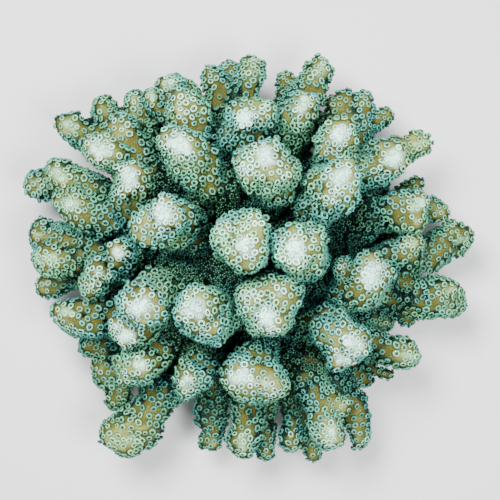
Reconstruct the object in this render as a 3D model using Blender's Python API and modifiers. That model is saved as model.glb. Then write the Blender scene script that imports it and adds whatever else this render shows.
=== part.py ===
"""Branching coral colony, cut flat from its rock.

A short domed base carries stout blunt limbs. Each limb is split into fingers that end in
rounded or lobed tips. Every limb is one closed solid, from the base to its fingertips.

Frame: metres, +Z up along the colony's growth, origin at the centre of the flat cut.
+X and +Y are the right and the top of the view from straight above.

A finger is a chain of rings. Each ring is (x, y, height, radius) in millimetres. Because
the colony was drawn from above, x, y and radius are as seen from an eye that hangs
EYE_HEIGHT over the cut, measured on the plane of the cut, and true_ring() turns them into
real ones: what is nearer to the eye looks larger, so it shrinks towards the axis.
"""

import math

import bmesh
import bpy
from mathutils import Matrix, Vector

MM = 0.001

# Driving dimensions, in millimetres
EYE_HEIGHT = 400.0
BASE_RADIUS = 30.0
BASE_CENTRE_HEIGHT = 7.0
BASE_RISE = 25.0
JOINT_GAP = 0.3
ROOT_DEPTH = 0.4

# How fine the solids are
SKIN_VOXEL = 0.9
SKIN_SMOOTHING = 5
RIM_SIDES = 10
BALL_RINGS = 8
BALL_SIDES = 14
BASE_SIDES = 32
BASE_RINGS = 12
TRIANGLES_A_RING = 28

# Limbs that stand around the middle and rise towards the eye
CROWN_LIMBS = {
    "crown_limb_centre": [
        [(0, 4, 31.8, 6.2), (-0.5, 4.5, 50, 6.7), (-0.8, 5, 64, 7.2), (-0.5, 3.2, 73, 6.5)],
        [(-0.8, 5, 64, 6), (1.5, 9.5, 71, 4.9)],
        [(-0.8, 5, 64, 6), (-5.6, 8.8, 70, 4.7)],
    ],
    "crown_limb_east": [
        [(14.5, 0.5, 29.9, 5.4), (16.5, 0.5, 45, 6.7), (17, 1.5, 60, 7.2), (14.5, 2.8, 70, 6.9)],
        [(17, 1.5, 60, 6), (19, 5.5, 66, 4.6)],
    ],
    "crown_limb_south": [
        [(5, -8.5, 31, 6.2), (6.5, -11.5, 45, 6.9), (7, -13.5, 57, 7.6), (6.3, -17.8, 66, 6.3)],
        [(7, -13.5, 57, 7), (10.8, -10, 63, 5.1)],
        [(7, -13.5, 57, 6.6), (2.6, -11.5, 62, 5)],
    ],
    "crown_limb_southwest": [
        [(-7.5, -14.5, 27.9, 6.2), (-8.8, -17, 42, 6.7), (-11.5, -17.3, 55, 7.1), (-15, -15, 65, 6.8)],
        [(-11.5, -17.3, 55, 6), (-11.5, -19, 60, 5)],
    ],
    "crown_limb_west": [
        [(-15.5, 7, 27.6, 6.2), (-18, 9, 42, 6.7), (-22.5, 11.5, 54, 7), (-24.5, 13.8, 61, 6)],
        [(-22.5, 11.5, 54, 6), (-29, 9.5, 59, 5.3)],
    ],
    "crown_limb_northwest": [
        [(-6, 16, 27.5, 5.6), (-8.8, 20.5, 39, 7), (-14.5, 27.5, 51, 6.6), (-20, 33.3, 59, 6)],
    ],
    "crown_limb_north": [
        [(6, 17.5, 26.7, 5.6), (8, 22, 44, 6.5), (7, 26, 58, 7), (6, 30.6, 63, 6.2)],
        [(7, 26, 58, 6.4), (1.2, 26.8, 63, 5.4)],
        [(7, 26, 58, 5.6), (10, 25.5, 61, 4.6)],
    ],
    "crown_limb_northeast": [
        [(17, 11.5, 25.5, 5.4), (20.5, 15, 41, 6.3), (24.5, 20.5, 54, 6.9), (28.8, 24.6, 60, 5.8)],
        [(24.5, 20.5, 54, 6), (26, 19, 61, 5.7)],
    ],
    "crown_limb_far_east": [
        [(21, -7.5, 23.7, 5.5), (29, -10, 36, 6.2), (34.5, -9, 45, 6.7), (37.6, -4.8, 51, 6.4)],
        [(31.5, -7.5, 42, 3.6), (29, -2.6, 45, 2.8)],
    ],
    "crown_limb_southeast": [
        [(13.5, -16.5, 25, 5.5), (20, -19.8, 37, 6), (26, -21.5, 46, 6.5), (31, -24.6, 51, 6)],
        [(26, -21.5, 46, 5.6), (28.8, -28.6, 48, 4.9)],
    ],
    "crown_limb_far_west": [
        [(-18.5, -5.5, 26.1, 6), (-21.5, -7.5, 37, 6.3), (-26, -10.3, 48, 6.7), (-31, -13.8, 57, 6.9)],
        [(-22.5, -10, 36, 5.2), (-29.5, -18.5, 43, 5), (-35.4, -23, 47, 4.4)],
        [(-31, -19, 44, 4.4), (-38.2, -20.2, 47, 3.8)],
    ],
}

# Limbs that leave the base's sides and lean out to the rim of the colony
RIM_LIMBS = {
    "rim_limb_east": [
        [(28, 8.5, 12.4, 5.4), (38, 13.2, 26, 6), (45.5, 14.8, 34, 5.7), (50.8, 16.4, 37, 4.8)],
        [(45.5, 14.8, 34, 5), (50.2, 12, 38, 4.1)],
        [(40, 13, 24, 4.6), (51, 15.4, 24, 3.9), (58.2, 14.2, 26, 3.2)],
        [(40, 14.5, 26, 3.8), (46, 19, 27, 3), (51, 22.6, 26, 2.4)],
        [(29, 10, 13.5, 4), (34, 16, 14, 4), (39, 22, 15, 3.6)],
    ],
    "rim_limb_northeast": [
        [(20.5, 18.5, 16.5, 6), (26.5, 26, 27, 6.6), (27, 30.5, 41, 5.7), (27.8, 36.8, 50, 5.2)],
        [(27, 30.5, 41, 5), (26, 32.5, 48, 4.6)],
        [(26.5, 26, 27, 6), (36, 27.3, 36, 6.1), (42.8, 29.8, 42, 5.8)],
        [(34, 27.5, 31, 4.8), (44.5, 31.6, 31, 4.2), (51.2, 34.4, 32, 3.8)],
        [(25, 28, 24, 5), (27.5, 39, 21, 4.4), (28, 47, 23, 3.9)],
        [(28, 29, 24, 5), (33.5, 39, 23, 4.2), (35, 47, 25, 3.4)],
        [(33, 37, 22.5, 3.5), (41.8, 43.2, 22, 2.5)],
    ],
    "rim_limb_north_northeast": [
        [(10.5, 25.5, 17, 5.4), (12.5, 36, 30, 5.9), (14.3, 41.5, 40, 5.4), (17, 46, 46, 4.8)],
        [(12.8, 38, 29, 5.2), (18.6, 50.5, 29, 5.2), (22, 56.2, 30, 4.4)],
        [(12, 38, 27, 4.4), (12, 48.5, 26, 3.4), (11.8, 54.5, 26, 2.2)],
        [(12, 27, 15, 4.2), (17, 35, 13.5, 4), (20, 42, 13.5, 3.6)],
    ],
    "rim_limb_north": [
        [(-2, 27, 18, 5.8), (-1.8, 34, 29, 6), (-1.5, 37, 41, 5.8), (-0.6, 41.8, 50, 5)],
        [(-1.5, 37, 41, 5), (4, 44, 49.5, 4.6)],
        [(-3, 34, 26, 5), (-7, 45, 24, 4.4), (-10, 54, 25, 3.8)],
        [(-3, 37, 24, 4.6), (-4.3, 47, 20, 4), (-4.6, 56.3, 21, 3.5)],
        [(-2, 36, 27, 5), (-0.8, 47, 28, 4.7), (1.5, 57.2, 29, 4.2)],
        [(-4, 30, 14.5, 4), (-9, 41, 14, 3.6)],
        [(1, 30, 14.5, 4), (6.5, 42, 14, 3.6)],
    ],
    "rim_limb_north_northwest": [
        [(-13, 24, 17.4, 5), (-14.4, 34, 31, 5.6), (-15.5, 41, 41, 5.7), (-18.3, 45.3, 46, 5.4)],
        [(-14.5, 37, 29, 5.2), (-20, 46.5, 34, 4.4), (-22.6, 51.3, 37, 3.9)],
        [(-16, 38, 27, 4.6), (-23.5, 45, 31, 3.8), (-28, 48.6, 33, 3.3)],
        [(-14.5, 39, 27, 4.4), (-16.5, 47, 27, 3.8), (-18, 51.5, 28, 3.3)],
    ],
    "rim_limb_northwest": [
        [(-22, 17.5, 15.7, 5.4), (-30, 26.5, 29, 6.4), (-38, 30.8, 38, 5.9), (-43.3, 32.2, 42, 5.6)],
        [(-31, 30, 30, 5), (-33.5, 36.5, 34, 4.8), (-37.8, 39.3, 37, 4.6)],
        [(-29, 30, 26, 5), (-31.5, 41, 27, 4.3), (-33.4, 47, 28, 3.8)],
        [(-32, 29, 25, 5.6), (-41, 35.5, 24, 5), (-52, 39.7, 27, 4.3)],
        [(-38.5, 34, 24, 4.6), (-42.3, 45.3, 26, 3.9)],
        [(-22, 20, 15, 4.2), (-24.5, 31, 14, 4), (-26, 40, 14, 3.6)],
    ],
    "rim_limb_west_northwest": [
        [(-28, 6.4, 14.5, 5.4), (-33, 11, 28, 6.5), (-34, 16.5, 39, 6), (-34.5, 23.7, 48, 5.6)],
        [(-33, 11, 28, 6), (-42, 12.5, 34, 5.5), (-52.3, 15.7, 36, 5.1)],
        [(-37, 14.5, 27, 5.4), (-47, 20.5, 30, 5.2), (-55.8, 25, 32, 5)],
        [(-44, 17.5, 25, 4.6), (-54, 20.4, 22, 4.4), (-63, 22.4, 24, 4.2)],
    ],
    "rim_limb_west": [
        [(-28, -6.5, 14.4, 5.6), (-38, -3, 25, 6.1), (-48, 1, 29, 5.5), (-58.3, 0, 30, 5)],
        [(-46, 2, 27, 4.8), (-53, 5.5, 24, 4.6), (-60.3, 7, 24, 4.5)],
        [(-42, -4, 23, 4.6), (-51, -6, 19, 4.1), (-59.5, -7.4, 19, 3.6)],
        [(-38, -4, 27, 5.2), (-42, -3.6, 36, 4.7), (-43.6, -3.6, 40, 4.4)],
        [(-42, -3.6, 36, 4.4), (-46, -7.6, 39, 4.1)],
        [(-37, -2.5, 28, 4.8), (-37, 0.5, 37, 4.5), (-37.5, 2, 43.5, 4.3)],
        [(-31, -4, 12.5, 4), (-39, 2.5, 12, 3.8), (-46.5, 7.5, 12.5, 3.5)],
    ],
    "rim_limb_southwest": [
        [(-21, -19, 15.3, 6), (-27.5, -23.5, 25, 6.4), (-28.5, -29, 35, 5.6), (-31.8, -31.6, 42, 4.9)],
        [(-28.5, -29, 35, 4.8), (-35, -33.2, 40, 4.4)],
        [(-29, -22, 25, 5.6), (-42.5, -16.9, 30, 5), (-52.5, -15.6, 33.5, 4.7)],
        [(-43, -17, 30, 4.7), (-51.5, -19.2, 33, 4.5)],
        [(-31, -22.5, 22, 5), (-39.5, -25, 21, 4.4), (-46.7, -24.7, 23, 4)],
        [(-29, -27, 21, 5), (-37.5, -34.5, 20, 4.3), (-42.6, -34, 21, 3.8)],
        [(-36, -33.5, 20, 4), (-39.3, -43, 19, 3)],
    ],
    "rim_limb_south_southwest": [
        [(-9, -25.5, 17.9, 5.8), (-12.5, -29.5, 27, 6), (-15, -33.5, 37, 5.2), (-18, -36.9, 43, 4.8)],
        [(-13, -29.5, 22, 5.8), (-24, -37.5, 24, 5.7), (-28.5, -45.5, 25, 5.8), (-32.5, -51, 26, 5.8)],
        [(-32.5, -51, 26, 5.7), (-37.2, -53, 27, 5.6)],
        [(-32.5, -50, 27, 4), (-40.2, -50.8, 27, 3.2)],
        [(-12, -31, 20, 4.8), (-10, -42, 18, 5), (-10.2, -54, 18, 3.6)],
        [(-11, -28, 14, 4.2), (-15.5, -36.5, 13, 3.8)],
    ],
    "rim_limb_south": [
        [(3, -26, 19.2, 5.5), (3, -30.5, 32, 6.3), (3, -33.5, 42, 6.7), (-2.3, -34.6, 48, 5.2)],
        [(3, -33.5, 42, 6), (7.4, -37.4, 47, 5.3)],
        [(3, -33.5, 42, 5.8), (2.6, -36.5, 48.5, 5.3)],
        [(2.5, -31, 24, 5.4), (0.8, -43, 26, 5.1), (-1, -53.8, 29, 5)],
        [(4, -33, 22, 4.6), (5, -46, 18, 3.8), (5.5, -57.8, 19, 3.2)],
        [(5, -29.5, 14.5, 4), (9.5, -40, 13.5, 3.6)],
    ],
    "rim_limb_south_southeast": [
        [(14.5, -25.3, 13.5, 5.4), (18, -33, 25, 5.6), (21.5, -42, 32, 5.1), (25.2, -52, 36, 4.8)],
        [(23, -43, 32, 3.6), (28.2, -43.8, 33, 3)],
        [(16.5, -33, 21, 4.8), (14.3, -45, 22, 4.3), (14, -53.6, 23, 4)],
        [(17.5, -36, 19, 4.2), (19, -48, 16.5, 3.4), (20, -58.6, 17, 2.9)],
        [(19, -32, 21, 4.8), (30.5, -40.5, 21, 4.2), (34, -53, 21, 3.5)],
    ],
    "rim_limb_southeast": [
        [(24.5, -15.5, 13.4, 5), (33, -22, 23, 5), (41, -26.5, 27, 4.7), (48, -28.8, 29, 4.4)],
        [(33, -23.5, 21, 3.6), (38, -32.5, 19, 2.4), (42.7, -34.5, 19, 1.9)],
        [(33, -20.5, 20, 4), (38.5, -18.5, 20, 3.4), (41.6, -19, 21, 2.7)],
        [(26, -19, 13.5, 4), (31, -28, 13, 3.8), (34, -35.5, 13.5, 3.4)],
    ],
    "rim_limb_east_southeast": [
        [(28.7, -4, 13.5, 5.8), (39, -4, 22, 6), (45, 0.8, 28, 5.4), (48.8, 4.2, 32, 4.8)],
        [(40, -3.5, 21, 5.4), (49, -1, 19, 5), (56.5, 2.3, 20, 4.8), (63.4, 5.4, 22, 4.4)],
        [(56.5, 2.3, 20, 4), (61, 8, 23, 3.2)],
        [(36, -6, 18, 5.4), (46, -11, 21, 5.3), (56, -11.5, 24, 5.3), (60.3, -9.6, 25, 4.4)],
        [(56, -11.5, 24, 5), (60.2, -13.4, 25, 4.4)],
        [(40, -10, 17.5, 3.8), (48.6, -17.2, 17, 3.1)],
        [(31, -2.2, 13.5, 4.1), (39, 2.8, 13.5, 4), (46, 7, 14, 3.6)],
    ],
}


def true_ring(ring):
    """The real place and radius, in metres, of a ring that is given as the eye sees it."""
    seen_x, seen_y, height, seen_radius = ring
    shrink = 1.0 - height / EYE_HEIGHT
    place = Vector((seen_x * shrink, seen_y * shrink, height)) * MM
    return place, seen_radius * shrink * MM


def material(name, colour, roughness):
    """A plain opaque finish."""
    finish = bpy.data.materials.new(name)
    finish.use_nodes = True
    shader = finish.node_tree.nodes["Principled BSDF"]
    shader.inputs["Base Color"].default_value = (*colour, 1.0)
    shader.inputs["Roughness"].default_value = roughness
    shader.inputs["Metallic"].default_value = 0.0
    return finish


def tapered_tube(rings, collection):
    """A round tube through the rings, as thick as each ring, on one smooth curve."""
    curve = bpy.data.curves.new("finger", "CURVE")
    curve.dimensions = "3D"
    curve.bevel_depth = MM
    curve.bevel_resolution = RIM_SIDES // 2 - 2
    curve.use_fill_caps = True
    curve.resolution_u = 6
    spline = curve.splines.new("BEZIER")
    spline.bezier_points.add(len(rings) - 1)
    for knot, (place, radius) in zip(spline.bezier_points, rings):
        knot.co = place
        knot.radius = radius / MM
        knot.handle_left_type = "AUTO"
        knot.handle_right_type = "AUTO"
    guide = bpy.data.objects.new("finger", curve)
    collection.objects.link(guide)
    bpy.context.view_layer.update()
    shape = guide.evaluated_get(bpy.context.evaluated_depsgraph_get())
    mesh = bpy.data.meshes.new_from_object(shape)
    bpy.data.objects.remove(guide)
    bpy.data.curves.remove(curve)
    return mesh


def limb_cage(name, fingers, collection):
    """All the fingers of a limb in one mesh: a tube for each, with a ball at both ends."""
    cage = bmesh.new()
    base_centre = Vector((0.0, 0.0, BASE_CENTRE_HEIGHT)) * MM
    for number, finger in enumerate(fingers):
        rings = [true_ring(ring) for ring in finger]
        if number == 0:
            place, radius = rings[0]
            rings.insert(0, (place.lerp(base_centre, ROOT_DEPTH), radius))
        tube = tapered_tube(rings, collection)
        cage.from_mesh(tube)
        bpy.data.meshes.remove(tube)
        for place, radius in (rings[0], rings[-1]):
            bmesh.ops.create_uvsphere(
                cage,
                u_segments=BALL_SIDES,
                v_segments=BALL_RINGS,
                radius=radius,
                matrix=Matrix.Translation(place),
            )
    bmesh.ops.remove_doubles(cage, verts=cage.verts, dist=1e-6)
    mesh = bpy.data.meshes.new(name)
    cage.to_mesh(mesh)
    cage.free()
    return mesh


def triangle_count(limb):
    """How many triangles the limb has with the modifiers that it carries so far."""
    bpy.context.view_layer.update()
    shape = limb.evaluated_get(bpy.context.evaluated_depsgraph_get())
    return sum(len(face.vertices) - 2 for face in shape.data.polygons)


def make_limb(name, fingers, finish, collection, socket):
    """Fuse the fingers into one skin, soften its forks, thin it, and seat it on the base."""
    limb = bpy.data.objects.new(name, limb_cage(name, fingers, collection))
    limb.data.materials.append(finish)
    collection.objects.link(limb)
    fuse = limb.modifiers.new("fuse", "REMESH")
    fuse.mode = "VOXEL"
    fuse.voxel_size = SKIN_VOXEL * MM
    fuse.use_smooth_shade = True
    soften = limb.modifiers.new("soften", "SMOOTH")
    soften.factor = 0.5
    soften.iterations = SKIN_SMOOTHING
    wanted = TRIANGLES_A_RING * sum(len(finger) for finger in fingers)
    thin = limb.modifiers.new("thin", "DECIMATE")
    thin.ratio = 1.0
    thin.ratio = min(1.0, wanted / triangle_count(limb))
    seat = limb.modifiers.new("seat", "BOOLEAN")
    seat.operation = "DIFFERENCE"
    seat.solver = "EXACT"
    seat.object = socket
    return limb


def make_dome(name, swell, collection):
    """A squat dome on the cut: a turned half-ellipse, swollen outwards by swell millimetres."""
    radius = (BASE_RADIUS + swell) * MM
    rise = (BASE_RISE + swell) * MM
    centre = BASE_CENTRE_HEIGHT * MM
    lowest = math.asin(-centre / rise)
    angles = [math.pi / 2 + (lowest - math.pi / 2) * step / BASE_RINGS for step in range(BASE_RINGS + 1)]
    profile = bmesh.new()
    last = None
    for angle in angles:
        place = Vector((radius * math.cos(angle), 0.0, centre + rise * math.sin(angle)))
        if last is None:
            place.x = 0.0
        corner = profile.verts.new(place)
        if last is not None:
            profile.edges.new((last, corner))
        last = corner
    bottom = profile.verts.new((0.0, 0.0, last.co.z))
    profile.edges.new((last, bottom))
    mesh = bpy.data.meshes.new(name)
    profile.to_mesh(mesh)
    profile.free()
    dome = bpy.data.objects.new(name, mesh)
    collection.objects.link(dome)
    turn = dome.modifiers.new("turn", "SCREW")
    turn.axis = "Z"
    turn.angle = 2 * math.pi
    turn.steps = BASE_SIDES
    turn.render_steps = BASE_SIDES
    turn.use_merge_vertices = True
    turn.merge_threshold = 1e-5
    turn.use_smooth_shade = True
    return dome


def main():
    for old in list(bpy.data.objects):
        bpy.data.objects.remove(old)
    colony = bpy.data.collections.new("branching_coral")
    cutters = bpy.data.collections.new("cutters")
    bpy.context.scene.collection.children.link(colony)
    bpy.context.scene.collection.children.link(cutters)
    tissue = material("living_tissue", (0.42, 0.52, 0.40), 0.6)
    limestone = material("bare_limestone", (0.62, 0.58, 0.48), 0.85)

    base = make_dome("cut_base", 0.0, colony)
    base.data.materials.append(limestone)
    socket = make_dome("base_socket", JOINT_GAP, cutters)
    socket.hide_render = True
    socket.display_type = "WIRE"

    for name, fingers in {**CROWN_LIMBS, **RIM_LIMBS}.items():
        make_limb(name, fingers, tissue, colony, socket)


main()
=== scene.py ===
"""Branching coral colony: living skin over every limb, ring polyps, the cut foot, floor and light.

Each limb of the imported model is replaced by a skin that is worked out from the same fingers.
A finger is a chain of rings (x, y, height, radius) in millimetres, as seen from an eye that
hangs EYE_HEIGHT over the cut, so what stands higher is drawn in towards the axis. All shapes
are worked out in millimetres and put into the meshes in metres.
"""
import math

import bpy
import numpy as np
from mathutils.kdtree import KDTree
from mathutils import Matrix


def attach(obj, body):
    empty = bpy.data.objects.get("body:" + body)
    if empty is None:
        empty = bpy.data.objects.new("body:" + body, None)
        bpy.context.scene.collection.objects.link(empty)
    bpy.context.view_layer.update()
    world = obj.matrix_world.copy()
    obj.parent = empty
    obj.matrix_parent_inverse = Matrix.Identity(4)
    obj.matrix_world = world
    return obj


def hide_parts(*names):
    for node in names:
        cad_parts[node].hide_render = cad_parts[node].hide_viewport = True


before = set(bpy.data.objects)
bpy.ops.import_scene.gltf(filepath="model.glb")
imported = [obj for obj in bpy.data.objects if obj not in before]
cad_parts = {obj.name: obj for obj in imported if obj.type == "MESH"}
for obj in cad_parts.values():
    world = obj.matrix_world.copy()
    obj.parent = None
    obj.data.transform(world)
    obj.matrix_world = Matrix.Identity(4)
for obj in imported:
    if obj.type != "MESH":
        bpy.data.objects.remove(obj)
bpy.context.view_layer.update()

MM = 0.001

# The eye and the foot, in millimetres, as in the model's own source
EYE_HEIGHT = 400.0
FOOT_RADIUS = 30.0
FOOT_CENTRE = 7.0
FOOT_RISE = 25.0

# The view: width of the picture on the plane of the cut, and the colony's centre in it
VIEW_WIDTH = 150.0
CENTRE_PIXEL = (246.0, 259.0)
PICTURE = 500.0

# Skin: how far it lies inside the rings, its mesh, its forks, its root and its lumps
POLYP_HEIGHT = 0.45
SKIN_VOXEL = 1.1
CONES_BETWEEN_RINGS = 4
FORK_SOFTNESS = 1.1
ROOT_INSET = 0.25
ROOT_FLARE = 1.6
ROOT_FLARE_REACH = 3.0
LUMP_HEIGHT = 0.75
LUMP_SPAN = 8.0
KNOB_HEIGHT = 0.46
KNOB_SPAN = 4.2

# A finger of this radius has full lumps and polyps. On the thinnest, polyps keep this share
FULL_RADIUS = 4.0
THIN_SHARE = 0.45

# Polyps: their size, and how their spacing changes over the growth
POLYP_RADIUS = 1.12
POLYP_SPACING = 1.54
CREST_SPACING = 0.18
DEEP_SPACING = 0.15
TIP_CROWDING = 0.14
UNEVENNESS = 0.13
PATCH_SPAN = 13.0
CANDIDATES_A_POLYP = 7
RELAXED_SHARE = 0.59
PUSH_SHARE = 0.42
NEIGHBOUR_GAP = 0.3
FOOT_GAP = 0.5

# A crown in polyp radii. Crest and rim each give reach and height, with what a lobe adds
CROWN_SIDES = 12
CREST_PROFILE = ((0.66, 0.04), (0.60, 0.16))
RIM_PROFILE = ((0.93, 0.05), (0.08, 0.04))
MOUTH_DEPTH = 0.04
ROOT_DEPTH = 0.5
BUD_DROP = 0.45
OVALNESS = 0.11
REACH_SCATTER = 0.05
RISE_SCATTER = 0.12
POLYP_LEAN = 0.5
LEAN_SCATTER = 0.12

# Where the crest, the rim and the underside of a crown lie on its map, with the mouth at 0
CREST_ON_MAP = 0.7
RIM_ON_MAP = 1.0
UNDER_ON_MAP = 1.3

# A crest turns up to CREST_TURN from the sky and a flank FLANK_TURN or more. Between the shares
# LOW_CREST and HIGH_CREST of the colony's height, both grow by CROWN_TURN
CREST_TURN = 0.08
FLANK_TURN = 0.50
CROWN_TURN = 0.36
LOW_CREST = 0.40
HIGH_CREST = 0.62

# Canopy: the half-ellipsoid that the fingertips reach
CANOPY_RADIUS = 66.0
CANOPY_HEIGHT = 77.0
# Painted shade: darker the deeper a place lies under the canopy, and the farther it is from a tip
SHADE_BY_DEPTH = 0.86
SHADE_REACH = 66.0

# A cap runs from a finger's end back along its upper side, by this many radii on a level finger.
# A finger this long has a full cap, and a short lobe has at least this share of one
CAP_RISE = 1.2
CAP_LENGTH = 0.8
CAP_EDGE = 1.38
CAP_FADE = 1.25
LOW_CAP = 24.0
HIGH_CAP = 46.0
RIM_CAP = 0.66
FULL_CAP_LENGTH = 16.0
LOBE_CAP = 0.72

# How bare each finger's end is on a limb where its length doesn't tell it
BARE_ENDS = {
    "crown_limb_southeast": (0.90, 1.0),
}

# The columns of a limb's table of fingertips
TIP_END = slice(0, 3)
TIP_RADIUS = 3
TIP_BARENESS = 4
TIP_BACK = slice(5, 8)

# The foot: rows up its side, rows across its cut, and lumps and pits as (height, span) that die
# off over CUT_FADE. Its polyps start at a height, and are closer than those on the limbs
FOOT_ROWS = 60
FOOT_SIDES = 150
CUT_ROWS = 10
FOOT_LUMPS = (0.5, 9.0)
FOOT_PITS = (0.3, 3.5)
FOOT_SINK = 0.7
CUT_FADE = 3.0
FOOT_POLYPS_FROM = 8.0
FOOT_CROWDING = 0.8

CROWN_LIMBS = {
    "crown_limb_centre": [
        [(0, 4, 31.8, 6.2), (-0.5, 4.5, 50, 6.7), (-0.8, 5, 64, 7.2), (-0.5, 3.2, 73, 6.5)],
        [(-0.8, 5, 64, 6), (1.5, 9.5, 71, 4.9)],
        [(-0.8, 5, 64, 6), (-5.6, 8.8, 70, 4.7)],
    ],
    "crown_limb_east": [
        [(14.5, 0.5, 29.9, 5.4), (16.5, 0.5, 45, 6.7), (17, 1.5, 60, 7.2), (14.5, 2.8, 70, 6.9)],
        [(17, 1.5, 60, 6), (19, 5.5, 66, 4.6)],
    ],
    "crown_limb_south": [
        [(5, -8.5, 31, 6.2), (6.5, -11.5, 45, 6.9), (7, -13.5, 57, 7.6), (6.3, -17.8, 66, 6.3)],
        [(7, -13.5, 57, 7), (10.8, -10, 63, 5.1)],
        [(7, -13.5, 57, 6.6), (2.6, -11.5, 62, 5)],
    ],
    "crown_limb_southwest": [
        [(-7.5, -14.5, 27.9, 6.2), (-8.8, -17, 42, 6.7), (-11.5, -17.3, 55, 7.1), (-15, -15, 65, 6.8)],
        [(-11.5, -17.3, 55, 6), (-11.5, -19, 60, 5)],
    ],
    "crown_limb_west": [
        [(-15.5, 7, 27.6, 6.2), (-18, 9, 42, 6.7), (-22.5, 11.5, 54, 7), (-24.5, 13.8, 61, 6)],
        [(-22.5, 11.5, 54, 6), (-29, 9.5, 59, 5.3)],
    ],
    "crown_limb_northwest": [
        [(-6, 16, 27.5, 5.6), (-8.8, 20.5, 39, 7), (-14.5, 27.5, 51, 6.6), (-20, 33.3, 59, 6)],
    ],
    "crown_limb_north": [
        [(6, 17.5, 26.7, 5.6), (8, 22, 44, 6.5), (7, 26, 58, 7), (6, 30.6, 63, 6.2)],
        [(7, 26, 58, 6.4), (1.2, 26.8, 63, 5.4)],
        [(7, 26, 58, 5.6), (10, 25.5, 61, 4.6)],
    ],
    "crown_limb_northeast": [
        [(17, 11.5, 25.5, 5.4), (20.5, 15, 41, 6.3), (24.5, 20.5, 54, 6.9), (28.8, 24.6, 60, 5.8)],
        [(24.5, 20.5, 54, 6), (26, 19, 61, 5.7)],
    ],
    "crown_limb_far_east": [
        [(21, -7.5, 23.7, 5.5), (29, -10, 36, 6.2), (34.5, -9, 45, 6.7), (37.6, -4.8, 51, 6.4)],
        [(31.5, -7.5, 42, 3.6), (29, -2.6, 45, 2.8)],
    ],
    "crown_limb_southeast": [
        [(13.5, -16.5, 25, 5.5), (20, -19.8, 37, 6), (26, -21.5, 46, 6.5), (31, -24.6, 51, 6)],
        [(26, -21.5, 46, 5.6), (28.8, -28.6, 48, 4.9)],
    ],
    "crown_limb_far_west": [
        [(-18.5, -5.5, 26.1, 6), (-21.5, -7.5, 37, 6.3), (-26, -10.3, 48, 6.7), (-31, -13.8, 57, 6.9)],
        [(-22.5, -10, 36, 5.2), (-29.5, -18.5, 43, 5), (-35.4, -23, 47, 4.4)],
        [(-31, -19, 44, 4.4), (-38.2, -20.2, 47, 3.8)],
    ],
}

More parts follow.
